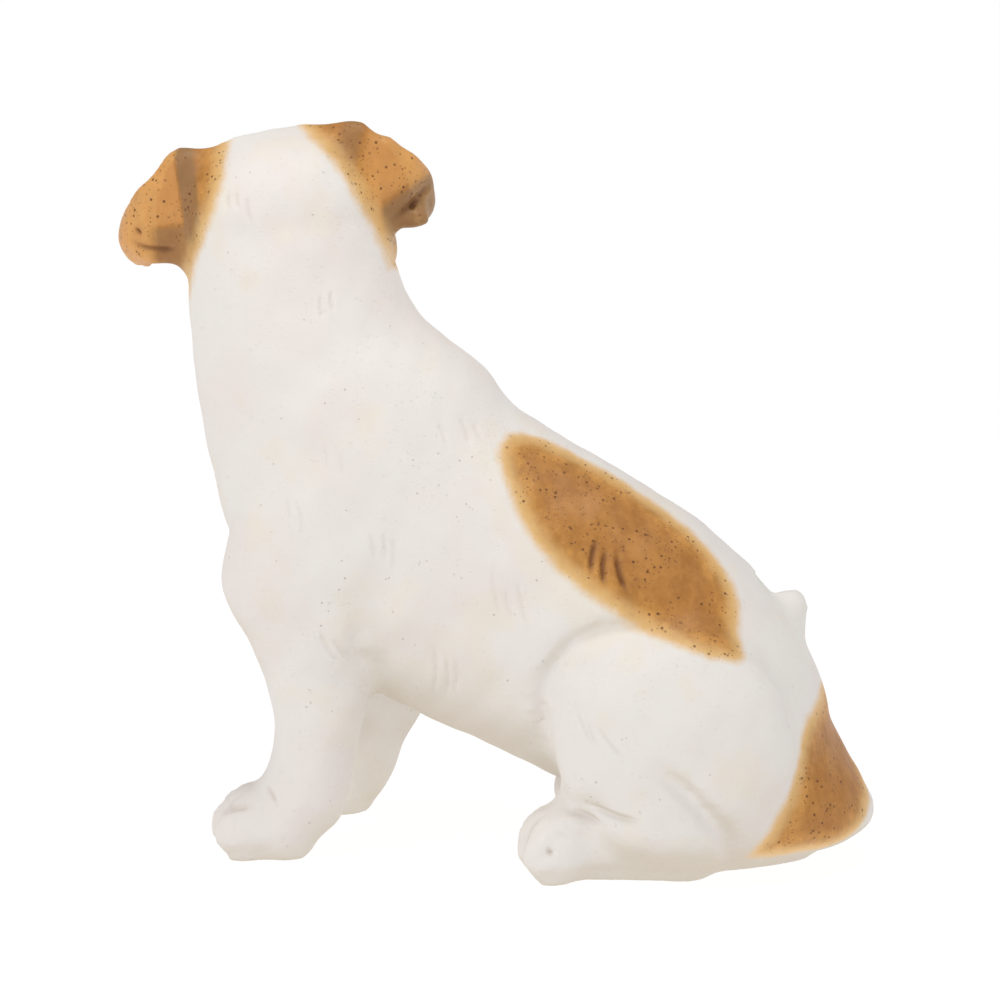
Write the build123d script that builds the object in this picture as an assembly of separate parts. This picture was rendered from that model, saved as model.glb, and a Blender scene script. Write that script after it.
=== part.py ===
"""Seated ceramic puppy, slip cast in pieces that are luted together before firing.

Design frame, in millimetres: +Z up, the body faces -Y and the dog's left is +X.
The head is turned over the dog's right shoulder. The finished model is moved so that
the origin is the middle of the bottom of its bounding box.
"""
from build123d import *
import os

# ---------------------------------------------------------------- driving dimensions
WALL = 4.0                  # thickness of the slip casting
NECK_CUT_Z = 104.0          # horizontal joint between torso and head
CLEAR_SIZE = 300.0          # wider and taller than the whole dog, for cutting

HEAD_CENTRE = (-5.0, -44.9, 126.2)
HEAD_TURN = -79.0           # degrees about Z, towards the dog's right
HEAD_ROLL = 8.0             # degrees about the muzzle, right ear up
VENT_RADIUS = 3.0           # firing vent under the rump
VENT_Y = 44.0
VENT_LENGTH = 40.0          # half of it reaches up through the floor into the hollow
HOLLOW_FLOOR_Z = WALL + 1.0

# Trunk sections from the nape to the seat: x, y and z of the centre, half width, half
# depth, and the angle of the section's depth axis above the horizontal, back end up.
TRUNK_SECTIONS = [
    (-4.0, -44.4, 130.0, 16.5, 16.5, 0.0),
    (-3.3, -44.0, 123.0, 18.3, 19.8, 2.0),
    (-2.0, -43.0, 114.5, 18.8, 21.0, 7.0),
    (-0.7, -39.7, 102.5, 20.3, 23.3, 11.0),
    (0.0, -31.9, 86.2, 23.5, 29.1, 25.0),
    (0.0, -24.2, 70.5, 25.3, 32.6, 38.0),
    (0.0, -4.0, 55.8, 25.8, 33.2, 46.0),
    (0.0, 13.2, 47.2, 26.0, 31.8, 48.0),
    (0.0, 30.8, 36.6, 27.0, 29.2, 43.0),
    (0.0, 43.0, 23.5, 27.5, 25.6, 35.0),
    (0.0, 46.5, 15.5, 27.0, 24.3, 25.0),
    (0.0, 49.3, 8.6, 24.5, 25.8, 15.0),
    (0.0, 49.5, 2.8, 17.5, 25.6, 10.0),
    (0.0, 45.0, -4.5, 8.0, 15.0, 6.0),
]
HOLLOW_END = 12             # the hollow stops before the last two sections

# Foreleg sections, left side: x, y and z of the centre, half width, half depth.
FORELEG_SECTIONS = [
    (11.0, -33.0, 80.0, 4.0, 8.0),
    (14.5, -34.5, 70.0, 8.2, 14.5),
    (16.0, -36.3, 58.0, 9.6, 17.0),
    (16.4, -35.6, 49.0, 9.6, 15.2),
    (16.7, -34.3, 40.0, 9.2, 11.4),
    (17.0, -33.6, 30.0, 8.6, 9.3),
    (17.0, -34.3, 22.0, 8.2, 8.4),
    (17.0, -38.3, 13.5, 8.0, 8.3),
    (17.0, -41.2, 5.0, 8.2, 8.1),
    (17.0, -42.0, -2.0, 7.0, 7.0),
]
FOREPAW = ((17.0, -45.8, 6.2), (8.8, 10.0, 8.2))
RIGHT_FOREPAW_BACK = 2.5    # the right forepaw stands this much further back
RIGHT_ELBOW_BACK = 6.0      # and the right leg leans back this much from LEAN_Z up
LEAN_Z = 22.0

# Ellipsoids, left side: centre and half axes.
HAUNCH = ((21.0, 38.0, 27.0), (12.8, 24.0, 24.5))
HOCK = ((17.5, 39.5, 9.5), (9.0, 9.5, 10.5))
HIND_FOOT_SECTIONS = [
    (17.0, 43.0, 8.0, 7.6, 7.9),
    (18.0, 36.0, 8.0, 8.2, 8.6),
    (19.5, 26.0, 7.8, 8.2, 8.4),
    (21.0, 17.0, 7.0, 8.4, 7.4),
]
HIND_PAW = ((21.3, 16.5, 6.6), (9.2, 9.2, 8.0))

# Head, in its own frame: centre and half axes.
CRANIUM = ((0.0, 0.0, 0.0), (20.0, 19.5, 17.2))
CHEEK = ((9.5, -6.0, -9.0), (11.5, 13.0, 11.0))
MUZZLE_SECTIONS = [
    (-8.0, -4.0, 13.5, 12.0),
    (-17.0, -6.0, 11.2, 10.2),
    (-25.0, -7.5, 9.2, 8.4),
    (-30.0, -8.0, 8.0, 7.2),
]
MUZZLE_END = ((0.0, -30.0, -8.0), (8.0, 5.0, 7.2))
NOSE = ((0.0, -34.0, -5.0), (3.8, 2.6, 3.0))
EYE = ((8.8, -16.4, 1.5), 3.3)

# Ear sections, left side, in the head's frame: centre, half height, half thickness
# and the direction in the horizontal plane that the leaf runs in, in degrees from +X.
EAR_SECTIONS = [
    (5.0, 0.0, 7.0, 7.5, 3.0, 5.0),
    (10.0, 0.8, 5.0, 11.3, 4.0, 5.0),
    (17.5, 1.8, 3.2, 12.3, 3.9, 2.0),
    (25.0, 1.2, 2.7, 9.6, 3.3, -18.0),
    (30.2, -2.6, 0.4, 6.9, 3.0, -50.0),
    (31.4, -8.0, -1.0, 5.5, 2.8, -88.0),
    (30.4, -13.0, -4.4, 3.6, 2.2, -105.0),
    (29.8, -14.8, -5.2, 1.6, 1.0, -108.0),
]
RIGHT_EAR_REACH = 0.89      # the right ear is a little shorter
RIGHT_EAR_LIFT = 1.0        # and sits a little higher

# Tail stub, a little to the dog's right of the spine: centre, radius.
TAIL_LEAN = (0.0, 0.2, 1.0)
TAIL_SECTIONS = [
    (-5.0, 55.5, 43.0, 5.0),
    (-5.0, 57.8, 48.5, 3.4),
    (-5.0, 58.2, 51.6, 2.6),
]


# ---------------------------------------------------------------- solid helpers
def ellipsoid(centre, half_axes):
    """A unit sphere stretched to its half axes."""
    return Pos(*centre) * scale(Sphere(1), by=half_axes)


def mirrored(centre, side, back=0.0):
    """The same place on the dog's left (side = 1) or right (side = -1), moved back."""
    x, y, z = centre
    return (x * side, y + back, z)


def section(centre, normal, width_axis, half_width, half_depth):
    """One elliptical section of a limb."""
    plane = Plane(origin=centre, x_dir=width_axis, z_dir=normal)
    return plane * Ellipse(half_width, half_depth)


def half_space(z_low, z_high):
    """A slab that is wider than the dog, between two heights."""
    thickness = z_high - z_low
    return Pos(0, 0, z_low + thickness / 2) * Box(CLEAR_SIZE, CLEAR_SIZE, thickness)


ABOVE_GROUND = half_space(0, CLEAR_SIZE)


# ---------------------------------------------------------------- trunk
def trunk_form(inset=0.0, last=len(TRUNK_SECTIONS)):
    """The neck, trunk and seat as one loft, shrunk by the wall for the hollow."""
    faces = []
    for x, y, z, half_width, half_depth, lean in TRUNK_SECTIONS[:last]:
        normal = Vector(0, 0, 1).rotate(Axis.X, lean)
        faces.append(section((x, y, z), normal, (1, 0, 0), half_width - inset, half_depth - inset))
    return loft(faces)


def make_torso(trunk, hollow):
    vent = Pos(0, VENT_Y, 0) * Cylinder(VENT_RADIUS, VENT_LENGTH)
    return (trunk & half_space(0, NECK_CUT_Z)) - hollow - vent


# ---------------------------------------------------------------- legs
def foreleg_back(side, height):
    """How far the right foreleg is set back of the left one at a height."""
    if side > 0:
        return 0.0
    rise = min(max(height / LEAN_Z, 0.0), 1.0)
    return RIGHT_FOREPAW_BACK + rise ** 2 * (RIGHT_ELBOW_BACK - RIGHT_FOREPAW_BACK)


def foreleg_form(side):
    faces = []
    for x, y, z, half_width, half_depth in FORELEG_SECTIONS:
        place = mirrored((x, y, z), side, foreleg_back(side, z))
        faces.append(section(place, (0, 0, 1), (1, 0, 0), half_width, half_depth))
    centre, half_axes = FOREPAW
    leg = loft(faces) + ellipsoid(mirrored(centre, side, foreleg_back(side, 0)), half_axes)
    return leg & ABOVE_GROUND


def haunch_form(side):
    centre, half_axes = HAUNCH
    return ellipsoid(mirrored(centre, side), half_axes) & ABOVE_GROUND


def hind_foot_form(side):
    faces = []
    for x, y, z, half_width, half_height in HIND_FOOT_SECTIONS:
        faces.append(section((x * side, y, z), (0, 1, 0), (1, 0, 0), half_width, half_height))
    foot = loft(faces)
    for centre, half_axes in (HOCK, HIND_PAW):
        foot = foot + ellipsoid(mirrored(centre, side), half_axes)
    return foot & ABOVE_GROUND


# ---------------------------------------------------------------- head
def head_pose():
    return Pos(*HEAD_CENTRE) * Rot(0, 0, HEAD_TURN) * Rot(0, HEAD_ROLL, 0)


def skull_form():
    """Cranium, cheeks and muzzle in the head's own frame."""
    skull = ellipsoid(*CRANIUM)
    for side in (1, -1):
        centre, half_axes = CHEEK
        skull = skull + ellipsoid(mirrored(centre, side), half_axes)
    faces = []
    for y, z, half_width, half_height in MUZZLE_SECTIONS:
        faces.append(section((0, y, z), (0, -1, 0), (1, 0, 0), half_width, half_height))
    return skull + loft(faces) + ellipsoid(*MUZZLE_END)


def ear_form(side):
    faces = []
    reach = 1.0 if side > 0 else RIGHT_EAR_REACH
    lift = 0.0 if side > 0 else RIGHT_EAR_LIFT
    for x, y, z, half_height, half_thickness, heading in EAR_SECTIONS:
        normal = Vector(1, 0, 0).rotate(Axis.Z, heading)
        normal = Vector(normal.X * side, normal.Y, 0)
        place = (x * reach * side, y, z + lift)
        faces.append(section(place, normal, (0, 0, 1), half_height, half_thickness))
    return loft(faces)


def tail_form():
    faces = []
    for x, y, z, radius in TAIL_SECTIONS:
        faces.append(section((x, y, z), TAIL_LEAN, (1, 0, 0), radius, radius))
    x, y, z, radius = TAIL_SECTIONS[-1]
    return loft(faces) + Pos(x, y, z) * Sphere(radius)


# ---------------------------------------------------------------- assembly
def make_pieces():
    pose = head_pose()
    trunk = trunk_form()
    hollow = trunk_form(WALL, HOLLOW_END) & half_space(HOLLOW_FLOOR_Z, CLEAR_SIZE)
    pieces = {"torso": make_torso(trunk, hollow)}
    solid_torso = trunk & half_space(0, NECK_CUT_Z)

    head_form = (trunk & half_space(NECK_CUT_Z, CLEAR_SIZE)) + (pose * skull_form())
    head_form = head_form & half_space(NECK_CUT_Z, CLEAR_SIZE)
    cavity = pose * ellipsoid(CRANIUM[0], tuple(axis - WALL for axis in CRANIUM[1]))
    head = head_form - cavity - hollow
    for name, side in (("left", 1), ("right", -1)):
        pieces[name + "_foreleg"] = foreleg_form(side) - solid_torso
        pieces[name + "_haunch"] = haunch_form(side) - solid_torso
        pieces[name + "_hind_foot"] = hind_foot_form(side) - solid_torso - haunch_form(side)
        pieces[name + "_ear"] = (pose * ear_form(side)) - head_form
        centre, radius = EYE
        eye = pose * (Pos(*mirrored(centre, side)) * Sphere(radius))
        pieces[name + "_eye"] = eye
        head = head - eye
    nose = pose * ellipsoid(*NOSE)
    pieces["nose"] = nose
    pieces["head"] = head - nose
    pieces["tail"] = tail_form() - solid_torso
    return pieces


def stood_at_origin(pieces):
    """The same pieces, with the middle of the bounding box's bottom at the origin."""
    box = Compound(list(pieces.values())).bounding_box()
    to_origin = Pos(-box.center().X, -box.center().Y, -box.min.Z)
    return {name: to_origin * piece for name, piece in pieces.items()}


def main():
    os.makedirs("parts", exist_ok=True)
    for name, piece in stood_at_origin(make_pieces()).items():
        solid, = piece.solids()
        export_step(solid, f"parts/{name}.step")


main()
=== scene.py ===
"""Looks of the sitting ceramic puppy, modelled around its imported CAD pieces.

The CAD pieces are turned into one distance field, like a lump of clay. Muscles, toes,
folds and the face are added to it or cut from it, and its skin becomes the mesh. Fine
tool marks are pressed into the mesh, and it is split into the CAD pieces again.
Lengths in the modelling are the dog's own millimetres: x is 0 on its midplane and
positive on its left, the body faces -y, and z is 0 on the table.
"""

import math

import bmesh
import bpy
import numpy as np
import openvdb
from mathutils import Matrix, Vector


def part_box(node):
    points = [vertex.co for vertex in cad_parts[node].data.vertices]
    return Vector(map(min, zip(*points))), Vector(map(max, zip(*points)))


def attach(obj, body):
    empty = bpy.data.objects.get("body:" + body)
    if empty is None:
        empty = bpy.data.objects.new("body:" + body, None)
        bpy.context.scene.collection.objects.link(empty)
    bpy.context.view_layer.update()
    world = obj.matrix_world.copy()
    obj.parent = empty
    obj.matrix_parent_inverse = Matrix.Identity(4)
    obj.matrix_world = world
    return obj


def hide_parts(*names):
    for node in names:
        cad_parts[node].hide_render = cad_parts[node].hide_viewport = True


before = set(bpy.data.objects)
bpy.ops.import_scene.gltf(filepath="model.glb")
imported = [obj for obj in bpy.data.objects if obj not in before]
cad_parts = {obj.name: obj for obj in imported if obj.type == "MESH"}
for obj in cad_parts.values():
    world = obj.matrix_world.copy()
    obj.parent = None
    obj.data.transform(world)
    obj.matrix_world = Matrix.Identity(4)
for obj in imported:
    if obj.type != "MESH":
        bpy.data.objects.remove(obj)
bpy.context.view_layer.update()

# ---------------------------------------------------------------- frames
MM = 0.001                          # metres
SEAT_BACK_Y = 76.0                  # the rump's rearmost point, in the dog's millimetres
EYE_PLACE = np.array((8.8, -16.4, 1.5))     # in the head's own frame
NOSE_PLACE = np.array((0.0, -34.0, -5.0))
EYE_TURN = 22.0                     # degrees the eyes look outwards
SIDES = (("left", 1), ("right", -1))


def box_mm(node):
    """Lowest and highest corner of a CAD node, in millimetres of the row frame."""
    low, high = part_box(node)
    return np.array(low) / MM, np.array(high) / MM


TORSO_LOW, TORSO_HIGH = box_mm("torso")
DOG_ORIGIN = np.array(((TORSO_LOW[0] + TORSO_HIGH[0]) / 2, TORSO_HIGH[1] - SEAT_BACK_Y, 0.0))


def centre_of(node):
    """Middle of a CAD node's box, in the dog's millimetres."""
    low, high = box_mm(node)
    return (low + high) / 2 - DOG_ORIGIN


def head_axes():
    """The head's x, y and z as columns, from where its eyes and nose are."""
    left, right, nose = (centre_of(node) for node in ("left_eye", "right_eye", "nose"))
    x_axis = (left - right) / np.linalg.norm(left - right)
    forward = nose - (left + right) / 2
    forward = forward / np.linalg.norm(forward)
    across = np.cross(x_axis, forward)
    reach, drop = -(NOSE_PLACE - EYE_PLACE)[1:]
    y_axis = -(reach * forward - drop * across) / math.hypot(reach, drop)
    return np.column_stack((x_axis, y_axis, np.cross(x_axis, y_axis)))


class Place:
    """A local frame: where its origin is and how its axes are turned."""

    def __init__(self, origin, axes):
        self.origin = np.asarray(origin, float)
        self.axes = np.asarray(axes, float)

    def local(self, points):
        return (points - self.origin) @ self.axes

    def world(self, points):
        return np.asarray(points, float) @ self.axes.T + self.origin


BODY = Place((0.0, 0.0, 0.0), np.eye(3))
HEAD_AXES = head_axes()
EYES_MIDDLE = (centre_of("left_eye") + centre_of("right_eye")) / 2
HEAD = Place(EYES_MIDDLE - HEAD_AXES @ (EYE_PLACE * (0, 1, 1)), HEAD_AXES)


# ---------------------------------------------------------------- small geometry
def turned(axis, degrees):
    """Rotation matrix about x, y or z."""
    c, s = math.cos(math.radians(degrees)), math.sin(math.radians(degrees))
    return {"x": np.array(((1, 0, 0), (0, c, -s), (0, s, c))),
            "y": np.array(((c, 0, s), (0, 1, 0), (-s, 0, c))),
            "z": np.array(((c, -s, 0), (s, c, 0), (0, 0, 1)))}[axis]


def smooth_min(a, b, blend):
    """The smaller of two distances, rounded where they cross."""
    overlap = np.maximum(blend - np.abs(a - b), 0.0) / blend
    return np.minimum(a, b) - overlap * overlap * blend * 0.25


def ramp(values, low, high):
    """0 below low, 1 above high, smooth between."""
    t = np.clip((values - low) / (high - low), 0.0, 1.0)
    return t * t * (3.0 - 2.0 * t)


def bowed(start, end, bow, steps=8):
    """Points of a shallow arc from start to end, bow to the left of its direction."""
    start, end = np.asarray(start, float), np.asarray(end, float)
    side = np.array((-(end - start)[1], (end - start)[0]))
    side = side / np.linalg.norm(side)
    t = np.linspace(0.0, 1.0, steps + 1)[:, None]
    return start + (end - start) * t + side * bow * 4.0 * t * (1.0 - t)


def rounded(points, steps=6, closed=False):
    """A Catmull-Rom curve through the points."""
    points = np.asarray(points, float)
    count = len(points)
    curve = []
    for i in range(count if closed else count - 1):
        if closed:
            a, b, c, d = (points[(i + k) % count] for k in (-1, 0, 1, 2))
        else:
            a, b, c, d = (points[min(max(i + k, 0), count - 1)] for k in (-1, 0, 1, 2))
        for t in np.arange(steps) / steps:
            curve.append(0.5 * (2 * b + (c - a) * t + (2 * a - 5 * b + 4 * c - d) * t ** 2
                                + (3 * b - a - 3 * c + d) * t ** 3))
    if not closed:
        curve.append(points[-1])
    return np.array(curve)


def path_distance(points, path):
    """Distance to a polyline, and how far along it (0 to 1) the nearest place is."""
    path = np.asarray(path, float)
    lengths = np.linalg.norm(np.diff(path, axis=0), axis=1)
    starts = np.concatenate(((0.0,), np.cumsum(lengths)[:-1]))
    best = np.full(len(points), np.inf)
    along = np.zeros(len(points))
    for a, b, length, walked in zip(path[:-1], path[1:], lengths, starts):
        t = np.clip(((points - a) @ (b - a)) / length ** 2, 0.0, 1.0)
        distance = np.linalg.norm(points - a - t[:, None] * (b - a), axis=1)
        nearer = distance < best
        best[nearer] = distance[nearer]
        along[nearer] = ((walked + t * length) / lengths.sum())[nearer]
    return best, along


def outline_depth(points, outline):
    """How deep points lie inside a closed plane outline: negative outside it."""
    closed = np.vstack((outline, outline[:1]))
    distance, _ = path_distance(points, closed)
    inside = np.zeros(len(points), bool)
    for (ax, ay), (bx, by) in zip(closed[:-1], closed[1:]):
        if ay == by:
            continue
        crosses = (ay > points[:, 1]) != (by > points[:, 1])
        inside ^= crosses & (points[:, 0] < (bx - ax) * (points[:, 1] - ay) / (by - ay) + ax)
    return np.where(inside, distance, -distance)


def read_rows(things, key, width, kind=float):
    """A property of every vertex, edge or face, one row for each."""
    values = np.zeros(len(things) * width, kind)
    things.foreach_get(key, values)
    return values.reshape(-1, width)


# ---------------------------------------------------------------- the clay
SPACING = 1.15              # grid pitch
CLEARANCE = 7.0             # empty grid round the CAD box
BAND = 9.0                  # how far from a surface distances are exact
VENT_REACH = 3.2            # half the width of what counts as open air
AIR_STEPS = 8               # grid steps between two looks at how far the open air reaches
FILL_STEPS = 8              # and steps from there to the clay itself
DEEP_STEPS = 10             # how many grid steps inwards the filled casting is made deep
CLOSING = 1.3               # slits narrower than twice this fill with clay
FINE_CLOSING = 0.55         # and after the sculpting, twice this
CLOSING_TOLERANCE = 0.08    # keeps the rounding of the grid from adding clay elsewhere
SOLE_SLICE_Z = 2.7          # below this the soles keep the outline they have here
SOLE_ROUNDING = 5.5         # how softly their edges meet the table
SOLE_CORE = 4.0             # how much deeper the soles' middles count
NODE_BLENDS = {             # how softly each piece is luted on; the nose sits in its socket
    "left_ear": 2.5, "right_ear": 2.5, "left_eye": 0.6, "right_eye": 0.6,
    "left_foreleg": 3.5, "right_foreleg": 3.5, "left_haunch": 3.0, "right_haunch": 3.0,
    "left_hind_foot": 3.0, "right_hind_foot": 3.0, "tail": 1.5,
}


def node_distance(node, low, shape):
    """Distance to one CAD piece's surface on the grid, negative inside the material."""
    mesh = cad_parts[node].data
    mesh.calc_loop_triangles()
    points = read_rows(mesh.vertices, "co", 3, np.float32) / MM - DOG_ORIGIN
    triangles = read_rows(mesh.loop_triangles, "vertices", 3, np.int32)
    grid = openvdb.FloatGrid.createLevelSetFromPolygons(
        ((points - low) / SPACING).astype(np.float32), triangles=triangles.astype(np.uint32),
        transform=openvdb.createLinearTransform(voxelSize=1.0), halfWidth=BAND / SPACING)
    values = np.full(shape, BAND / SPACING, np.float32)
    grid.copyToArray(values)
    return values * SPACING


def spread(mask):
    """A mask grown by one grid step."""
    grown = mask.copy()
    for axis in range(3):
        ahead = [slice(None)] * 3
        behind = [slice(None)] * 3
        ahead[axis], behind[axis] = slice(1, None), slice(None, -1)
        grown[tuple(ahead)] |= mask[tuple(behind)]
        grown[tuple(behind)] |= mask[tuple(ahead)]
    return grown


def without_hollow(field):
    """The casting as a solid: what the outside air can't reach becomes clay."""
    air = field > VENT_REACH
    outside = np.zeros_like(air)
    outside[0], outside[-1] = air[0], air[-1]
    reached = 0
    while outside.sum() > reached:
        reached = outside.sum()
        for _ in range(AIR_STEPS):
            outside = spread(outside) & air
    for _ in range(FILL_STEPS):
        outside = spread(outside) & (field > 0)
    solid = np.where(outside, field, -np.abs(field))
    reached = outside
    for step in range(1, DEEP_STEPS):
        reached = spread(reached)
        depth = -SPACING * max(step - 2, 0) / math.sqrt(3)
        solid = np.where(reached, solid, np.minimum(solid, depth))
    return solid


class Clay:
    """The dog as a distance field on a grid: negative inside."""

    def __init__(self):
        boxes = [box_mm(node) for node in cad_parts]
        low = np.min([box[0] for box in boxes], axis=0) - DOG_ORIGIN
        high = np.max([box[1] for box in boxes], axis=0) - DOG_ORIGIN
        self.low = np.floor(low) - CLEARANCE + np.array((0.0, 0.0, SPACING / 2))
        self.shape = tuple(np.ceil((high + CLEARANCE - self.low) / SPACING).astype(int) + 1)
        self.nodes = {node: node_distance(node, self.low, self.shape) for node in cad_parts}
        self.field = without_hollow(np.minimum(self.nodes["torso"], self.nodes["head"]))
        for node, blend in NODE_BLENDS.items():
            self.field = smooth_min(self.field, self.nodes[node], blend)
        self.close_slits(CLOSING)

    def close_slits(self, reach):
        """Swells the clay and shrinks it again, so that narrow gaps stay filled."""
        swollen = openvdb.FloatGrid(BAND)
        swollen.copyFromArray(self.field.astype(np.float32))
        points, triangles, quads = swollen.convertToPolygons(isovalue=reach, adaptivity=0.0)
        grid = openvdb.FloatGrid.createLevelSetFromPolygons(
            points.astype(np.float32), triangles=triangles, quads=quads,
            transform=openvdb.createLinearTransform(voxelSize=1.0), halfWidth=BAND / SPACING)
        values = np.full(self.shape, BAND / SPACING, np.float32)
        grid.copyToArray(values)
        self.field = np.minimum(self.field, values * SPACING + reach + CLOSING_TOLERANCE)

    def window(self, low, high):
        """The part of the grid between two corners: its slices and its points."""
        first = np.clip(np.floor((low - self.low) / SPACING).astype(int), 0, None)
        last = np.minimum(np.ceil((high - self.low) / SPACING).astype(int) + 1, self.shape)
        slices = tuple(slice(a, b) for a, b in zip(first, last))
        ticks = [self.low[i] + SPACING * np.arange(first[i], last[i]) for i in range(3)]
        return slices, np.stack(np.meshgrid(*ticks, indexing="ij"), -1)

    def egg(self, centre, radii, blend, turn=None, place=BODY):
        """Distance to an ellipsoid near it, with its slices of the grid."""
        axes = place.axes @ (np.eye(3) if turn is None else turn)
        middle = place.world(centre)
        extent = np.sqrt(((axes * np.asarray(radii)) ** 2).sum(1)) + blend + 2 * SPACING
        slices, points = self.window(middle - extent, middle + extent)
        local = (points - middle) @ axes
        near = np.sqrt(((local / radii) ** 2).sum(-1))
        slope = np.sqrt(((local / np.square(radii)) ** 2).sum(-1)) + 1e-9
        return slices, near * (near - 1.0) / slope

    def add(self, centre, radii, blend, turn=None, place=BODY):
        slices, distance = self.egg(centre, radii, blend, turn, place)
        self.field[slices] = smooth_min(self.field[slices], distance, blend)

    def cut(self, centre, radii, blend, turn=None, place=BODY):
        slices, distance = self.egg(centre, radii, blend, turn, place)
        self.field[slices] = -smooth_min(-self.field[slices], distance, blend)

    def crease(self, path, drop, middle, reach, depth, width, place=BODY):
        """Presses a line in, seen along the axis `drop`, where that axis is near middle.

        A negative depth raises a ridge instead."""
        path = np.asarray(path, float)
        kept = [axis for axis in range(3) if axis != drop]
        low, high = np.zeros(3), np.zeros(3)
        low[kept], high[kept] = path.min(0) - 3 * width, path.max(0) + 3 * width
        low[drop], high[drop] = middle - reach, middle + reach
        corners = place.world([[(low, high)[i][0], (low, high)[j][1], (low, high)[k][2]]
                               for i in (0, 1) for j in (0, 1) for k in (0, 1)])
        slices, points = self.window(corners.min(0), corners.max(0))
        local = place.local(points.reshape(-1, 3))
        distance, along = path_distance(local[:, kept], path)
        fade = ramp(reach - np.abs(local[:, drop] - middle), 0.0, 0.3 * reach)
        ends = 0.35 + 0.65 * ramp(np.minimum(along, 1.0 - along), 0.0, 0.25)
        press = depth * np.exp(-(distance / width) ** 2) * fade * ends
        self.field[slices] += press.reshape(self.field[slices].shape)

    def stand_on_table(self):
        """Cuts everything off flat at z = 0, with rounded edges."""
        z = self.low[2] + SPACING * np.arange(self.shape[2])
        first = int(np.argmax(z > SOLE_SLICE_Z))
        self.field[:, :, :first] = self.field[:, :, first:first + 1]
        core = ramp(-self.field, 0.5 * SOLE_SLICE_Z, SOLE_SLICE_Z)
        self.field = self.field - SOLE_CORE * core * (1.0 - ramp(z, SOLE_SLICE_Z, 3 * SOLE_SLICE_Z))
        self.field = -smooth_min(-self.field, z + np.zeros(self.shape), SOLE_ROUNDING)

    def sample(self, values, points):
        """Values of a grid between its points."""
        at = (points - self.low) / SPACING
        base = np.clip(np.floor(at).astype(int), 0, np.array(self.shape) - 2)
        part = np.clip(at - base, 0.0, 1.0)
        total = np.zeros(len(points))
        for corner in ((i, j, k) for i in (0, 1) for j in (0, 1) for k in (0, 1)):
            weight = np.prod(np.where(corner, part, 1.0 - part), axis=1)
            total += weight * values[tuple((base + corner).T)]
        return total

    def skin(self):
        """Points and four-cornered faces of the surface."""
        grid = openvdb.FloatGrid(BAND)
        grid.copyFromArray((self.field / SPACING).astype(np.float32))
        points, triangles, quads = grid.convertToPolygons(isovalue=0.0, adaptivity=0.0)
        faces = quads.tolist() + triangles.tolist()
        return points * SPACING + self.low, faces


# ---------------------------------------------------------------- muscles, toes and folds
LEG_BACK = (2.5, 6.0, 22.0)     # the right foreleg: back at the paw, back at the elbow, height


def foreleg_back(side, height):
    """How far the right foreleg stands back of the left one."""
    if side > 0:
        return 0.0
    low, high, rise = LEG_BACK
    return low + (high - low) * min(max(height / rise, 0.0), 1.0) ** 2


def sculpt_shoulders(clay):
    for _, side in SIDES:
        back = foreleg_back(side, 60) * 0.5
        clay.add((side * 16.5, -34.0 + back, 61.0), (9.6, 12.5, 17.0), 8.0, turned("x", 12))
        clay.add((side * 17.0, -29.5 + back, 47.0), (7.6, 7.0, 8.5), 5.0)
        behind = rounded([(-13.0 + back, 74.0), (-17.5 + back, 60.0), (-21.0 + back, 49.0)])
        clay.crease(behind, 0, side * 24.0, 10.0, 0.7, 4.0)
        pit = rounded([(-23.8 + back, 50.5), (-24.4 + back, 44.0), (-22.0 + back, 40.0)])
        clay.crease(pit, 0, side * 21.0, 7.0, 1.3, 1.5)


FOREPAW = (17.4, -45.8, 5.4)    # the middle of the left paw's toes, and from toe to toe
FOREPAW_SPREAD = 4.5
HIND_PAW = (21.6, 17.0, 5.2)
HIND_PAW_SPREAD = 4.7


def paw_place(paw, side, back=0.0):
    x, y, z = paw
    return side * x, y + back, z


def sculpt_toes(clay, paw, radii, spread_x, fronts):
    """Four toes in a fan on the front of a paw, with the grooves between them."""
    x, y, z = paw
    half_width, half_length, half_height = radii
    for i, front in enumerate(fronts):
        across = (i - 1.5) * spread_x
        turn = turned("z", across * 1.6)
        clay.add((x + across, y - front + half_length, z), (half_width, half_length, half_height),
                 1.3, turn)
    for i in range(3):
        across = (i - 1.0) * spread_x
        groove = [(x + across * 0.8, y - 4.2), (x + across * 1.25, y - 13.5)]
        clay.crease(groove, 2, z + 2.0, 9.0, 2.0, 1.0)


def sculpt_forepaws(clay):
    for _, side in SIDES:
        back = foreleg_back(side, 0)
        fronts = (8.2, 10.2, 10.0, 7.6) if side > 0 else (7.6, 10.0, 10.2, 8.2)
        paw = paw_place(FOREPAW, side, back)
        sculpt_toes(clay, paw, (2.9, 5.8, 5.4), FOREPAW_SPREAD, fronts)
        clay.add((side * 17.0, -34.0 + back * 1.2, 13.0), (7.4, 5.2, 8.5), 6.0)


def sculpt_heel(clay):
    """The left forepaw's heel is lifted off the table."""
    clay.cut((17.0, -26.6, -1.0), (14.0, 7.6, 7.0), 3.0)


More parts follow.
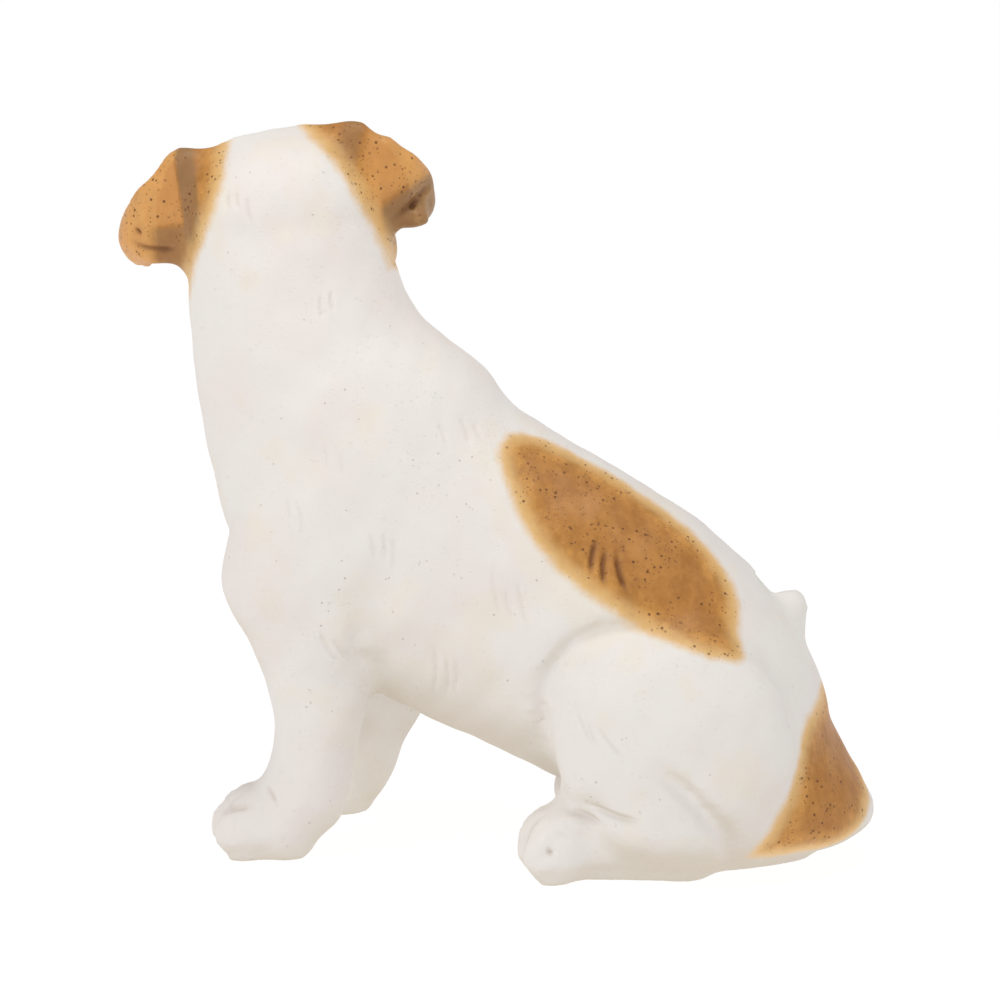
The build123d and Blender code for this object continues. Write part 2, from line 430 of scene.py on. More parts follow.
def sculpt_haunches(clay):
    for _, side in SIDES:
        thigh = rounded([(13.4, 33.0), (14.6, 40.5), (18.3, 46.6), (22.0, 49.3), (27.0, 50.6),
                         (33.0, 50.4), (38.0, 49.4)])
        clay.crease(thigh, 0, side * 24.0, 9.0, 1.9, 1.6)
        clay.crease([(13.0, 35.6), (14.0, 26.0), (17.7, 15.7)], 0, side * 22.0, 8.0, 1.5, 1.4)
        clay.crease(rounded([(17.5, 14.4), (22.0, 14.5), (26.5, 12.6)]), 0, side * 27.0, 8.0, 0.9, 1.0)
        clay.crease(rounded([(22.8, 17.2), (28.7, 15.6), (35.0, 14.6)]), 0, side * 30.0, 7.0, 0.8, 1.0)
        clay.add((side * 26.5, 36.0, 12.5), (6.0, 11.5, 6.2), 3.0, turned("x", -10))
        clay.add((side * 25.0, 20.5, 12.4), (5.0, 4.0, 2.6), 1.5)
        hock = rounded([(36.5, 26.0), (42.5, 21.0), (48.5, 14.0), (50.0, 9.0), (48.5, 3.0)])
        clay.crease(hock, 0, side * 29.0, 9.0, 2.1, 1.8)


def sculpt_hind_paws(clay):
    for _, side in SIDES:
        fronts = (7.4, 9.2, 9.0, 6.8) if side > 0 else (6.8, 9.0, 9.2, 7.4)
        sculpt_toes(clay, paw_place(HIND_PAW, side), (3.0, 5.8, 5.2), HIND_PAW_SPREAD, fronts)
        outer_toe = rounded([(19.0, 11.2), (16.4, 8.6), (13.8, 5.6)])
        clay.crease(outer_toe, 0, side * 29.5, 4.0, 1.3, 1.0)


def sculpt_ears(clay):
    """The folds of the ear leaves, in the head's frame, seen from behind."""
    def fold(path, middle, reach, depth, width):
        clay.crease(path, 1, middle, reach, depth, width, HEAD)

    fold(rounded([(17.0, 11.5), (18.2, 6.0), (19.0, -2.0)]), 4.0, 5.0, 0.4, 2.2)
    clay.add((18.4, 1.4, 12.6), (3.6, 3.0, 3.6), 2.0, None, HEAD)
    fold(rounded([(31.6, -0.6), (28.0, -2.6), (21.5, -3.9)]), 3.0, 4.0, 1.0, 0.9)
    fold([(29.0, 1.6), (29.8, 0.9)], 3.0, 4.0, 1.2, 1.3)
    fold(rounded([(30.0, 8.5), (25.5, 9.0), (21.0, 11.0)]), 3.0, 5.0, -0.7, 2.0)
    clay.add((26.5, 0.5, -3.2), (5.4, 2.6, 1.9), 0.9, turned("y", 3), HEAD)

    fold(rounded([(-11.0, 14.5), (-16.0, 7.0), (-20.3, -3.5)]), 5.0, 6.0, 0.4, 2.2)
    clay.cut((-22.0, 2.0, 15.3), (2.8, 6.0, 2.4), 2.5, None, HEAD)
    fold(rounded([(-20.8, -4.2), (-25.3, -1.4), (-31.5, 2.8)]), 3.0, 6.0, 1.1, 1.1)
    fold([(-24.6, -2.4), (-27.8, -0.1)], 3.0, 5.0, 1.2, 0.8)
    fold([(-28.4, -1.6), (-31.5, -1.8)], 0.0, 6.0, 1.3, 0.8)
    fold(rounded([(-13.0, 17.0), (-20.0, 13.5), (-26.0, 10.5)]), 2.0, 6.0, -0.6, 1.8)
    clay.add((-24.6, 0.4, -3.8), (4.6, 3.0, 2.2), 1.0, turned("y", -14), HEAD)


def sculpt_face(clay):
    for _, side in SIDES:
        eye = EYE_PLACE * (side, 1, 1)
        clay.add(eye + (-side * 1.0, 0.2, 5.0), (5.4, 3.6, 2.6), 2.5, turned("y", side * 14), HEAD)
        clay.cut(eye + (-side * 4.6, -3.4, -1.2), (2.4, 3.0, 3.2), 2.5, None, HEAD)
        clay.add(eye, (4.3, 4.0, 3.9), 1.6, None, HEAD)
        clay.add((side * 13.5, -12.0, -8.5), (5.5, 6.5, 6.5), 4.0, None, HEAD)
        clay.add((side * 4.4, -29.2, -9.0), (4.7, 5.6, 4.6), 1.6, turned("z", side * 12), HEAD)
    clay.cut((0.0, -19.0, 9.5), (2.2, 5.0, 6.0), 4.0, None, HEAD)
    clay.add((0.0, -27.5, -14.2), (5.6, 6.6, 3.4), 1.2, None, HEAD)
    clay.add((0.0, -28.6, -3.4), (4.2, 5.0, 3.2), 2.5, None, HEAD)
    clay.crease([(0.0, 12.0), (0.0, 1.0)], 1, -18.0, 8.0, 0.6, 2.0, HEAD)


def sculpt_rump(clay):
    """A rounder tail stub, and a slight dip in the rump below it."""
    clay.add((-5.0, 58.6, 50.2), (3.0, 2.8, 3.0), 0.6)
    clay.cut((-5.0, 53.0, 54.6), (5.0, 2.8, 2.2), 0.8)
    clay.cut((-5.0, 58.0, 57.0), (6.0, 6.0, 3.3), 1.0)
    clay.crease([(68.0, 32.0), (71.5, 25.0), (75.5, 18.0)], 0, 0.0, 34.0, 1.0, 5.0)


def cut_vent(clay):
    """The firing hole under the seat."""
    clay.cut((0.0, 44.0, 2.0), (3.2, 3.2, 13.0), 0.8)


def sculpt(clay):
    sculpt_shoulders(clay)
    sculpt_forepaws(clay)
    sculpt_heel(clay)
    sculpt_haunches(clay)
    sculpt_hind_paws(clay)
    sculpt_ears(clay)
    sculpt_face(clay)
    sculpt_rump(clay)
    clay.close_slits(FINE_CLOSING)
    cut_vent(clay)
    clay.stand_on_table()


# ---------------------------------------------------------------- tool marks
class Mark:
    """A fine line pressed into the skin, seen along the axis `drop` on one side of it."""

    def __init__(self, path, drop, sign, depth, width, stain=0.3, place=BODY, limit=0.0, end=90.0):
        self.path = np.asarray(path, float)
        self.drop, self.sign = drop, sign
        self.depth, self.width, self.stain = depth, width, stain
        self.place, self.limit, self.end = place, limit, end

    def shape(self, points):
        """0 to 1: how much of the mark's depth each point gets."""
        local = self.place.local(points)
        kept = [axis for axis in range(3) if axis != self.drop]
        flat = local[:, kept]
        margin = 3 * self.width
        reach = local[:, self.drop] * self.sign
        near = (reach > self.limit) & (reach < self.end)
        near &= (flat > self.path.min(0) - margin).all(1) & (flat < self.path.max(0) + margin).all(1)
        amount = np.zeros(len(points))
        if near.any():
            distance, along = path_distance(flat[near], self.path)
            taper = 0.2 + 0.8 * ramp(np.minimum(along, 1.0 - along), 0.0, 0.3)
            amount[near] = np.exp(-(distance / self.width) ** 2) * taper
        return amount


HAIR_STROKES = [    # in the side view: start, end, bow, depth
    ((-9.1, 89.2), (-6.8, 83.8), 0.3, 0.22), ((-5.6, 89.9), (-2.8, 84.1), 0.4, 0.26),
    ((-3.1, 88.6), (-1.0, 84.4), 0.3, 0.20), ((-37.8, 74.4), (-37.4, 69.7), 0.3, 0.28),
    ((-35.6, 73.8), (-34.2, 66.6), 0.4, 0.30), ((-21.0, 68.2), (-19.8, 62.6), 0.3, 0.30),
    ((-18.4, 68.0), (-17.9, 62.6), 0.3, 0.32), ((-16.4, 67.8), (-16.6, 60.1), 0.3, 0.28),
    ((-30.8, 49.0), (-27.2, 41.4), -0.5, 0.30), ((-28.2, 47.2), (-25.4, 42.2), -0.4, 0.26),
    ((3.4, 62.3), (5.0, 53.5), -0.4, 0.32), ((6.1, 58.4), (7.6, 51.6), -0.4, 0.26),
    ((8.4, 60.0), (10.7, 50.4), -0.5, 0.34), ((-8.7, 45.3), (-9.4, 35.2), 0.5, 0.36),
    ((-6.3, 44.2), (-6.9, 34.6), 0.5, 0.34), ((-4.5, 43.3), (-4.6, 36.2), 0.4, 0.28),
    ((20.5, 35.8), (24.6, 28.8), -0.4, 0.30), ((23.0, 33.8), (25.2, 29.2), -0.3, 0.32),
    ((24.9, 33.9), (30.9, 27.4), -0.6, 0.32), ((-30.5, 84.5), (-29.6, 79.5), 0.3, 0.18),
    ((-27.6, 84.0), (-26.5, 78.4), 0.3, 0.20),
]
SADDLE_STROKES = [
    ((22.8, 67.3), (22.3, 60.9), -0.5, 0.55), ((24.6, 65.4), (25.0, 58.9), -0.5, 0.60),
    ((26.6, 64.9), (29.4, 57.6), -0.5, 0.60),
]
RIGHT_SHIFT = (2.6, -1.8)       # the strokes of the right side lie a little off the left's


def hair_marks():
    marks = []
    for start, end, bow, depth in HAIR_STROKES:
        marks.append(Mark(bowed(start, end, bow), 0, 1, depth, 0.42, 0.22))
        start, end = (np.add(point, RIGHT_SHIFT) for point in (start, end))
        marks.append(Mark(bowed(start, end, bow), 0, -1, depth, 0.42, 0.22))
    for start, end, bow, depth in SADDLE_STROKES:
        marks.append(Mark(bowed(start, end, bow), 0, 1, depth, 0.55, 1.0))
        marks.append(Mark(bowed(np.add(start, RIGHT_SHIFT), np.add(end, RIGHT_SHIFT), bow),
                          0, -1, 0.3, 0.42, 0.22))
    for start, end in (((9.2, 7.4), (9.9, 4.2)), ((7.6, 7.6), (7.7, 4.0)), ((5.7, 6.6), (5.4, 0.8)),
                       ((-6.4, -14.0), (-6.0, -19.0)), ((-8.4, -13.6), (-8.4, -18.0))):
        marks.append(Mark(bowed(start, end, 0.3), 1, 1, 0.36, 0.42, 0.3, HEAD))
    return marks


PAW_TOP_Z = 16.0            # the lines between the toes stay below this


def paw_marks():
    """Short lines over the knuckles and a sharp line down between the toes."""
    marks = []
    for _, side in SIDES:
        back = foreleg_back(side, 0)
        for (x, y, _), step in ((paw_place(FOREPAW, side, back), FOREPAW_SPREAD),
                                (paw_place(HIND_PAW, side), HIND_PAW_SPREAD)):
            for i in (-1.0, 0.0, 1.0):
                line = [(x + i * step * 0.8, y - 3.0), (x + i * step * 1.25, y - 12.5)]
                marks.append(Mark(line, 2, 1, 0.7, 0.5, 0.6, limit=1.0, end=PAW_TOP_Z))
        knuckle = bowed((-51.0 + back, 10.2), (-46.0 + back, 11.2), 0.3)
        marks.append(Mark(knuckle, 0, side, 0.7, 0.55, 0.8, limit=15.0))
        wrist = bowed((-43.2 + back, 15.4), (-40.4 + back, 12.4), 0.2)
        marks.append(Mark(wrist, 0, side, 0.6, 0.5, 0.6, limit=15.0))
        for path in (rounded([(17.6, 14.6), (22.0, 14.6), (26.0, 12.8)]),
                     rounded([(23.0, 16.9), (28.7, 15.5), (34.0, 14.7)])):
            marks.append(Mark(path, 0, side, 0.6, 0.6, 0.5, limit=18.0))
        marks.append(Mark([(16.4, 7.6), (15.2, 7.0)], 0, side, 0.8, 0.7, 1.0, limit=24.0))
    return marks


def face_marks():
    mouth = rounded([(-18.5, -9.2), (-22.0, -11.0), (-27.0, -12.0), (-32.0, -11.6), (-37.0, -11.2)])
    marks = [Mark(mouth, 0, side, 0.9, 0.55, 0.9, HEAD) for _, side in SIDES]
    marks.append(Mark([(0.0, -6.8), (0.0, -11.6)], 1, -1, 0.7, 0.5, 0.8, HEAD, limit=30.0))
    for _, side in SIDES:
        for row in range(3):
            for i in range(3):
                y, z = -31.5 + 2.3 * i + 0.5 * row, -6.6 - 1.7 * row
                marks.append(Mark([(y, z), (y + 0.3, z - 0.1)], 0, side, 0.3, 0.4, 0.9, HEAD, limit=3.0))
        corner = bowed((side * 11.2, -0.6), (side * 13.6, -2.2), 0.2)
        marks.append(Mark(corner, 1, -1, 0.3, 0.45, 0.4, HEAD, limit=8.0))
        for x, z in ((4.0, 9.5), (6.0, 10.2)):
            brow = bowed((side * x, z), (side * (x + 0.6), z + 3.4), 0.2)
            marks.append(Mark(brow, 1, -1, 0.22, 0.4, 0.3, HEAD, limit=8.0))
    return marks


def ear_marks():
    """Sharp lines in the folds of the ears, and the nicks in their edges."""
    lines = [
        (rounded([(31.0, -0.8), (28.0, -2.4), (22.0, -3.6)]), 0.5, 0.5, 0.8),
        ([(29.2, 1.3), (29.8, 0.9)], 0.7, 0.7, 1.0),
        (rounded([(-21.5, -3.6), (-25.3, -1.2), (-30.5, 2.2)]), 0.45, 0.6, 0.6),
        ([(-24.8, -2.2), (-27.4, -0.3)], 0.8, 0.5, 1.0),
    ]
    return [Mark(path, 1, 1, depth, width, stain, HEAD, limit=-4.0)
            for path, depth, width, stain in lines]


MARKS = hair_marks() + paw_marks() + face_marks() + ear_marks()

# ---------------------------------------------------------------- the skin as a mesh
UNDULATIONS = [     # direction, wavelength and height of the faint unevenness left by hand
    ((1.0, 0.3, 0.2), 23.0, 0.10), ((-0.3, 1.0, 0.4), 17.0, 0.10), ((0.2, -0.5, 1.0), 14.0, 0.10),
    ((0.7, 0.7, -0.4), 9.5, 0.06), ((-0.6, 0.4, 0.9), 7.5, 0.05), ((0.4, -0.9, 0.5), 6.1, 0.04),
]
EAR_UNEVENNESS = 2.2        # the ears are this much rougher
SOLE_PRESS = 0.35           # the soles are pressed this far onto the table
SOLE_FADE = (0.6, 7.0)      # heights between which the unevenness grows from nothing
RELAX_ROUNDS = 3
RELAX_STEPS = (0.55, -0.57)
LID_HALF_WIDTH = 3.1
LID_HALF_HEIGHT = 2.05
SOCKET_RADIUS = 2.9


def new_mesh(name, points, faces):
    mesh = bpy.data.meshes.new(name)
    mesh.from_pydata(np.asarray(points).tolist(), [], faces)
    mesh.update()
    return mesh


def new_object(name, data):
    thing = bpy.data.objects.new(name, data)
    bpy.context.scene.collection.objects.link(thing)
    return thing


def smooth_object(name, mesh):
    mesh.polygons.foreach_set("use_smooth", [True] * len(mesh.polygons))
    return new_object(name, mesh)


def mesh_points(mesh):
    return read_rows(mesh.vertices, "co", 3)


def mesh_normals(mesh):
    return read_rows(mesh.vertex_normals, "vector", 3)


def mesh_edges(mesh):
    return read_rows(mesh.edges, "vertices", 2, np.int32)


def store(mesh, name, values):
    """Keeps a number per vertex under a name, for the materials to read."""
    layer = mesh.attributes.new(name, "FLOAT", "POINT")
    layer.data.foreach_set("value", np.asarray(values, np.float32))


def set_points(mesh, points):
    mesh.vertices.foreach_set("co", points.astype(np.float32).ravel())
    mesh.update()


def relaxed(points, edges, rounds):
    """Evens out the grid's steps: each pull inwards is followed by a push outwards."""
    a, b = edges[:, 0], edges[:, 1]
    count = np.bincount(np.concatenate((a, b)), minlength=len(points))[:, None]
    for step in RELAX_STEPS * rounds:
        total = np.stack([np.bincount(a, points[b, i], len(points))
                          + np.bincount(b, points[a, i], len(points)) for i in range(3)], -1)
        points = points + step * (total / count - points)
    return points


def subdivided(mesh):
    """The mesh after one Catmull-Clark step."""
    carrier = new_object("carrier", mesh)
    carrier.modifiers.new("smooth", "SUBSURF").levels = 1
    evaluated = carrier.evaluated_get(bpy.context.evaluated_depsgraph_get())
    finer = bpy.data.meshes.new_from_object(evaluated)
    bpy.data.objects.remove(carrier)
    return finer


def refine_where(mesh, wanted):
    """Halves the edges that `wanted` picks by their midpoints."""
    chosen = np.nonzero(wanted(mesh_points(mesh)[mesh_edges(mesh)].mean(1)))[0]
    work = bmesh.new()
    work.from_mesh(mesh)
    work.edges.ensure_lookup_table()
    bmesh.ops.subdivide_edges(work, edges=[work.edges[i] for i in chosen], cuts=1, use_grid_fill=True)
    work.to_mesh(mesh)
    work.free()
    mesh.update()


def eye_places():
    return [EYE_PLACE * (side, 1, 1) for _, side in SIDES]


def wants_detail(points):
    """True near tool marks, toes and eyes."""
    fine = np.zeros(len(points), bool)
    for mark in MARKS:
        fine |= mark.shape(points) > 0.02
    local = HEAD.local(points)
    for eye in eye_places():
        fine |= np.linalg.norm(local - eye, axis=1) < 6.0
    return fine


def gaze(eye):
    """Axes of an eye: across, forward and up, turned a little outwards."""
    turn = turned("z", EYE_TURN * np.sign(eye[0]))
    return turn[:, 0], -turn[:, 1], np.array((0.0, 0.0, 1.0))


def with_eyelids(points):
    """Opens almond-shaped lids over the eyeballs."""
    local = HEAD.local(points)
    for eye in eye_places():
        offset = local - eye
        radius = np.linalg.norm(offset, axis=1)
        across, forward, up = gaze(eye)
        u = offset @ across * np.sign(eye[0])
        w = offset @ up + 0.12 * u
        front = offset @ forward
        near = (radius < 6.5) & (front > 0)
        height = LID_HALF_HEIGHT * np.sqrt(np.clip(1.0 - (u / LID_HALF_WIDTH) ** 2, 0.0, 1.0))
        opening = ramp(height - np.abs(w), -0.15, 0.45) * (np.abs(u) < LID_HALF_WIDTH)
        rim = np.exp(-((height + 0.55 - np.abs(w)) / 0.6) ** 2) * (np.abs(u) < LID_HALF_WIDTH + 0.6)
        wanted = radius + 0.25 * rim * (1.0 - opening)
        wanted = wanted * (1.0 - opening) + SOCKET_RADIUS * opening
        scale = np.where(near, wanted / np.maximum(radius, 1e-6), 1.0)
        local = eye + offset * scale[:, None]
    return HEAD.world(local)


def make_skin(clay):
    """The finished skin, with the tool marks' stain per vertex."""
    points, faces = clay.skin()
    mesh = new_mesh("skin", points, faces)
    set_points(mesh, relaxed(points, mesh_edges(mesh), RELAX_ROUNDS))
    mesh = subdivided(mesh)
    refine_where(mesh, wants_detail)

    points, normals = mesh_points(mesh), mesh_normals(mesh)
    local = HEAD.local(points)
    ear = ramp(np.abs(local[:, 0]), 19.0, 24.0) * ramp(local[:, 2], -12.0, -7.0)
    height = np.zeros(len(points))
    for direction, wavelength, amplitude in UNDULATIONS:
        direction = np.array(direction) / np.linalg.norm(direction)
        height += amplitude * np.sin(points @ direction * 2 * math.pi / wavelength + wavelength)
    height *= (1.0 + (EAR_UNEVENNESS - 1.0) * ear) * ramp(points[:, 2], *SOLE_FADE)
    points = points + normals * height[:, None]
    stain = np.zeros(len(points))
    press = np.zeros(len(points))
    for mark in MARKS:
        amount = mark.shape(points)
        press = np.maximum(press, amount * mark.depth)
        stain = np.maximum(stain, amount * mark.stain)
    points = with_eyelids(points - normals * press[:, None])
    points[:, 2] -= SOLE_PRESS * (1.0 - ramp(points[:, 2], 0.0, SOLE_ROUNDING))
    points[:, 2] = np.maximum(points[:, 2], 0.0)
    set_points(mesh, points)
    return mesh, stain


# ---------------------------------------------------------------- painted patches
PAINT_REACH = 6.0           # depths in the paint are kept up to this, inside and outside
SADDLE_FACING = (0.70, 0.38, 0.60)      # the way the saddle patch faces
SADDLE = [      # its outline on the body: x, y, z
    (14.5, 2.8, 83.0), (19.0, 6.6, 73.0), (22.3, 12.4, 65.3), (23.6, 22.0, 57.4),
    (24.6, 34.0, 50.8), (27.2, 44.0, 47.2), (24.1, 51.9, 46.0), (17.0, 50.4, 49.8), (10.0, 48.0, 57.5),
    (5.3, 38.5, 67.3), (3.8, 24.0, 76.8), (4.6, 12.0, 83.0), (8.0, 5.0, 85.4),
]
RUMP_FACING = (0.6, 0.8, 0.0)
RUMP = [
    (-4.0, 65.6, 34.5), (11.7, 63.8, 31.6), (18.2, 62.1, 25.0), (21.6, 60.7, 18.6),
    (23.4, 57.9, 12.4), (22.3, 55.5, 6.0), (15.0, 62.0, 5.4), (9.0, 68.5, 6.4),
    (5.0, 73.0, 10.4), (-4.0, 75.5, 16.0), (-9.0, 72.0, 26.0),
]
# the edge of the white at the back of the head: heights, and half widths on each side
HEAD_BORDER_Z = (-20.0, -11.0, -4.0, 1.0, 6.0, 10.0, 13.5, 17.0)
HEAD_BORDER_LEFT = (22.5, 20.6, 17.6, 14.6, 12.0, 10.2, 9.5, 8.8)
HEAD_BORDER_RIGHT = (21.5, 19.8, 17.6, 15.8, 14.2, 12.0, 9.4, 6.0)


def facing_plane(direction):
    """Two axes across a direction."""
    direction = np.array(direction) / np.linalg.norm(direction)
    level = np.cross((0.0, 0.0, 1.0), direction)
    level = level / np.linalg.norm(level)
    return np.column_stack((level, np.cross(direction, level)))


def patch_depth(points, outline, direction, normals):
    """How deep points lie in a painted patch, seen along the way it faces."""
    plane = facing_plane(direction)
    flat_outline = rounded(np.array(outline) @ plane, 6, closed=True)
    flat = points @ plane
    near = (flat > flat_outline.min(0) - PAINT_REACH).all(1)
    near &= (flat < flat_outline.max(0) + PAINT_REACH).all(1)
    near &= normals @ (np.array(direction) / np.linalg.norm(direction)) > -0.15
    near &= points @ np.array(direction) > 0.0
    depth = np.full(len(points), -PAINT_REACH)
    depth[near] = outline_depth(flat[near], flat_outline)
    return depth


def nape_border(x, z):
    """Half width of the white at the back of the head, at a height, on x's side."""
    left = np.interp(z, HEAD_BORDER_Z, HEAD_BORDER_LEFT)
    right = np.interp(z, HEAD_BORDER_Z, HEAD_BORDER_RIGHT)
    return np.where(x > 0, left, right)


def head_depth(points):
    """How deep points lie in the brown of the head: the ears, round the eyes, the nape's sides."""
    x, y, z = HEAD.local(points).T
    behind = nape_border(x, z)
    blaze = 3.4 + 0.18 * np.abs(z - 4.0) + 2.0 * ramp(z, 8.0, 16.0)
    border = behind + (blaze - behind) * ramp(-y, 6.0, 15.0)
    lower = z + 15.5 - 8.0 * ramp(-y, 0.0, 16.0) - 3.5 * ramp(y, 0.0, 10.0)
    front = y + 20.5
    return np.minimum(np.minimum(np.abs(x) - border, lower), front)


EAR_GLOW = 0.6


def ear_tone(points):
    """Down to -1 where the wash on the ears' backs is grey, above 0 where it is light."""
    x, _, z = HEAD.local(points).T
    band = ramp(x, 15.3, 16.6) * (1.0 - ramp(x, 19.4, 20.2)) * ramp(z, -3.0, 0.0)
    low_left = ramp(x, 16.0, 18.0) * (1.0 - ramp(z, 0.5, 2.5)) * (1.0 - ramp(x, 25.0, 29.0)) * 0.8
    inner = (1.0 - ramp(np.abs(x + 9.5 + 0.45 * z), 1.0, 4.0)) * ramp(-x, 9.0, 12.0)
    low_right = ramp(-x, 18.5, 20.5) * (1.0 - ramp(z + 0.45 * (x + 20.0), -1.5, 1.5))
    grey = np.clip(band + low_left + inner * 0.7 + low_right, 0.0, 1.0)
    return EAR_GLOW * ramp(np.abs(x), 15.0, 20.0) * (1.0 - grey) - grey


PIT_CLUSTERS = [    # in the side view: where pinholes gather, and how far
    ((-3.0, 77.0), 5.0), ((-29.0, 57.0), 6.5), ((30.0, 42.5), 5.5), ((42.0, 33.0), 5.0),
    ((-8.0, 62.0), 4.0), ((24.0, 21.0), 4.0), ((-14.0, 84.0), 4.0),
]


def pit_density(points):
    """Where the pinholes gather, 0 to 1."""
    density = np.full(len(points), 0.12)
    for (y, z), size in PIT_CLUSTERS:
        distance = np.hypot(points[:, 1] - y, points[:, 2] - z)
        density = np.maximum(density, np.exp(-(distance / size) ** 2))
    return density


HEAD_REACH = 45.0           # everything of the head lies this near its frame's origin
EAR_DEPTH = 3.4             # the ears count as this deep in their patch
PAINTED_SHADE_UNDERSIDE = (0.0, 0.95)     # how far down a face points where the painted shade on undersides starts and is full


def paint_skin(mesh, clay, stain):
    """Per-vertex values that the glaze and stain materials read, among them the shade painted on faces
    that point down.
    """
    points, normals = mesh_points(mesh), mesh_normals(mesh)
    ears = np.minimum(clay.sample(clay.nodes["left_ear"], points),
                      clay.sample(clay.nodes["right_ear"], points))
    on_head = clay.sample(clay.nodes["head"], points) < 6.0
    paint = np.maximum(patch_depth(points, SADDLE, SADDLE_FACING, normals),
                       patch_depth(points, RUMP, RUMP_FACING, normals))
    paint = np.where(on_head, np.maximum(paint, head_depth(points)), paint)
    x, _, z = HEAD.local(points).T
    out = np.abs(x) - nape_border(x, z)
    beyond = ramp(out, 0.5, 2.5) * (ears < 5.0)
    on_ears = EAR_DEPTH - 4.0 * np.maximum(ears * (1.0 - beyond) - 0.2, 0.0)
    paint = np.maximum(paint, np.minimum(on_ears, out))
    near_head = np.linalg.norm(points - HEAD.origin, axis=1) < HEAD_REACH
    tone = np.where(near_head, ear_tone(points), 0.0)
    # painted_underside_shade is painted shade: 0 on faces that point sideways or up, 1 on faces that
    # point straight down
    values = {"paint": np.clip(paint, -PAINT_REACH, PAINT_REACH), "tone": tone, "stain": stain,
              "pits": pit_density(points), "painted_underside_shade": ramp(-normals[:, 2], *PAINTED_SHADE_UNDERSIDE)}
    for name, value in values.items():
        store(mesh, name, value)


# ---------------------------------------------------------------- splitting into pieces
WHITE_NODES = ["torso", "head", "left_foreleg", "right_foreleg", "left_haunch", "right_haunch",
               "left_hind_foot", "right_hind_foot", "tail"]
EAR_NODES = ["left_ear", "right_ear"]
SKIN_NODES = WHITE_NODES + EAR_NODES
PAINT_LAYERS = ("paint", "tone", "stain", "pits", "painted_underside_shade")
NOBODY = -1                 # owner of a bubble inside the clay, which is left out
SKIRT = 1.2                 # a piece's skin turns inwards this far round its joint
CAP_DEPTH = 2.0             # and the closed side is dished inwards by this


def face_owners(mesh, clay):
    """For each face, which of SKIN_NODES it belongs to."""
    centres = read_rows(mesh.polygons, "center", 3)
    distances = np.stack([clay.sample(clay.nodes[node], centres) for node in SKIN_NODES])
    return distances.argmin(0)


def tidy_owners(mesh, owners):
    """Gives stray islands of faces to the piece that surrounds them."""
    work = bmesh.new()
    work.from_mesh(mesh)
    work.faces.ensure_lookup_table()
    seen = np.zeros(len(owners), bool)
    islands = []
    for start in range(len(owners)):
        if seen[start]:
            continue
        seen[start] = True
        island, around, queue = [start], {}, [start]
        while queue:
            face = work.faces[queue.pop()]
            for edge in face.edges:
                for other in edge.link_faces:
                    i = other.index
                    if owners[i] != owners[start]:
                        around[owners[i]] = around.get(owners[i], 0) + 1
                    elif not seen[i]:
                        seen[i] = True
                        island.append(i)
                        queue.append(i)
        islands.append((owners[start], island, around))
    work.free()
    for owner in set(owners):
        own = sorted((island for island in islands if island[0] == owner), key=lambda i: -len(i[1]))
        for _, island, around in own[1:]:
            owners[island] = max(around, key=around.get) if around else NOBODY
    return owners


def close_loops(work):
    """Caps each open loop with a shallow cone inside the body."""
    rims = [edge for edge in work.edges if edge.is_boundary]
    joined = {}
    for edge in rims:
        for vert in edge.verts:
            joined.setdefault(vert, []).append(edge)
    left = dict.fromkeys(rims)
    while left:
        loop, queue = [], [next(iter(left))]
        del left[queue[0]]
        while queue:
            edge = queue.pop()
            loop.append(edge)
            for vert in edge.verts:
                for other in joined[vert]:
                    if other in left:
                        del left[other]
                        queue.append(other)
        corners = list(dict.fromkeys(vert for edge in loop for vert in edge.verts))
        middle = sum((vert.co for vert in corners), start=0 * corners[0].co) / len(corners)
        inward = sum((vert.normal for vert in corners), start=0 * middle)
        if inward.length > 1e-6:
            middle = middle - inward.normalized() * CAP_DEPTH * MM
        tip = work.verts.new(middle)
        inner = {vert: work.verts.new(vert.co - vert.normal * SKIRT * MM) for vert in corners}
        for edge in loop:
            face, = edge.link_faces
            start, end = edge.verts
            for corner in face.loops:
                if corner.vert == start and corner.link_loop_next.vert == end:
                    start, end = end, start
                    break
            work.faces.new((start, end, inner[end], inner[start])).smooth = False
            work.faces.new((inner[start], inner[end], tip)).smooth = False


def split_piece(mesh, owners, index, name):
    """One piece of the skin as its own closed object, shaded like the whole."""
    used = [tuple(polygon.vertices) for polygon, owner in zip(mesh.polygons, owners) if owner == index]
    kept = np.unique(np.concatenate([np.array(face) for face in used]))
    renumber = np.full(len(mesh.vertices), -1)
    renumber[kept] = np.arange(len(kept))
    points = (mesh_points(mesh)[kept] + DOG_ORIGIN) * MM
    normals = mesh_normals(mesh)[kept]
    piece_mesh = new_mesh(name, points, [[renumber[i] for i in face] for face in used])
    piece = smooth_object(name, piece_mesh)
    work = bmesh.new()
    work.from_mesh(piece_mesh)
    work.normal_update()
    close_loops(work)
    work.to_mesh(piece_mesh)
    work.free()
    extra = len(piece_mesh.vertices) - len(kept)
    normals = np.vstack((normals, np.tile((0.0, 0.0, 1.0), (extra, 1))))
    piece_mesh.normals_split_custom_set_from_vertices(normals.tolist())
    for layer in PAINT_LAYERS:
        column = read_rows(mesh.attributes[layer].data, "value", 1, np.float32)[kept, 0]
        store(piece_mesh, layer, np.concatenate((column, np.zeros(extra))))
    return piece


def mount(piece, node, material):
    """Makes a piece stand for its CAD node, with its finish."""
    piece.data.materials.clear()
    piece.data.materials.append(material)
    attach(piece, "root")
    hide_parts(node)


# ---------------------------------------------------------------- eyes and nose
EYEBALL_RADIUS = 3.35
EYEBALL_RINGS = 48
CORNEA = 0.28               # how far it bulges
BEHIND_IRIS = 9.0
NOSE_RINGS = 56
NOSE_RADII = np.array((4.0, 3.0, 3.2))


